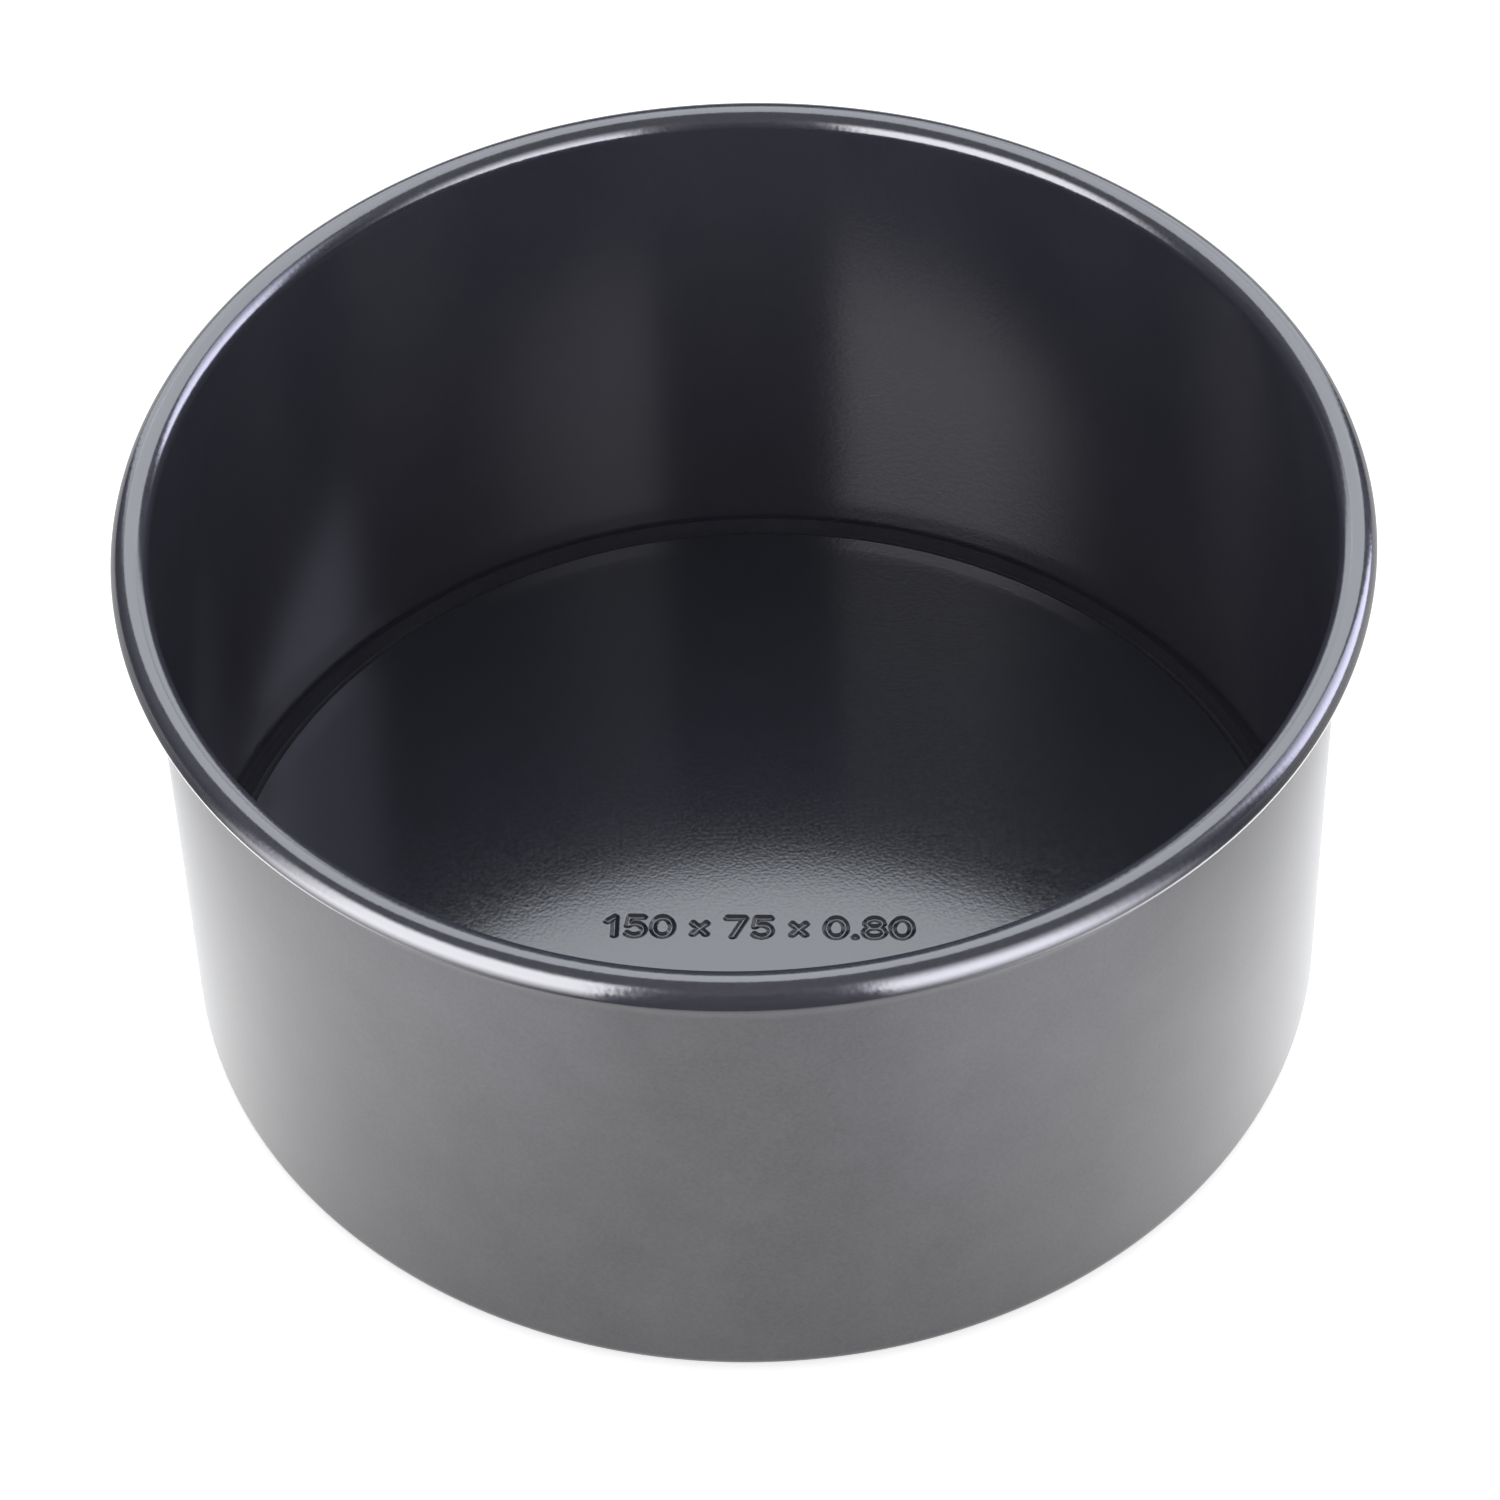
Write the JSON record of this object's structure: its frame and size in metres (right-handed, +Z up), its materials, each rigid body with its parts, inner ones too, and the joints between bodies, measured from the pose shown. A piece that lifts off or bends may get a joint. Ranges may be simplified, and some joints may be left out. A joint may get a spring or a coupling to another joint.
{
  "type": "deep cake tin",
  "caption": "Deep round loose-based cake tin: a coated sheet-steel side wall with a wired rolled rim and an inward ledge, and a flat base that lifts out upwards to free the cake.",
  "frame": {"origin": "on the tin's axis, on the surface that the tin stands on", "axes": "+Z up along the tin's axis, out of its mouth; +X to the right and +Y away from the viewer in the picture"},
  "size_m": [0.1596, 0.1596, 0.079],
  "materials": {
    "wall_coating": "dark grey non-stick coating on steel sheet, smooth satin",
    "base_coating": "dark grey non-stick coating on steel sheet, satin with a fine orange-peel grain",
    "wire_steel": "bare drawn steel wire, hidden in the rim"
  },
  "bodies": {
    "tin": {"side_wall": "wall_coating", "rim_wire": "wire_steel"},
    "base": {"loose_base": "base_coating"}
  },
  "joints": [
    {"name": "base_lift", "type": "slide", "parent": "tin", "child": "base", "axis": [0, 0, 1], "range_m": [0, 0.085]}
  ]
}
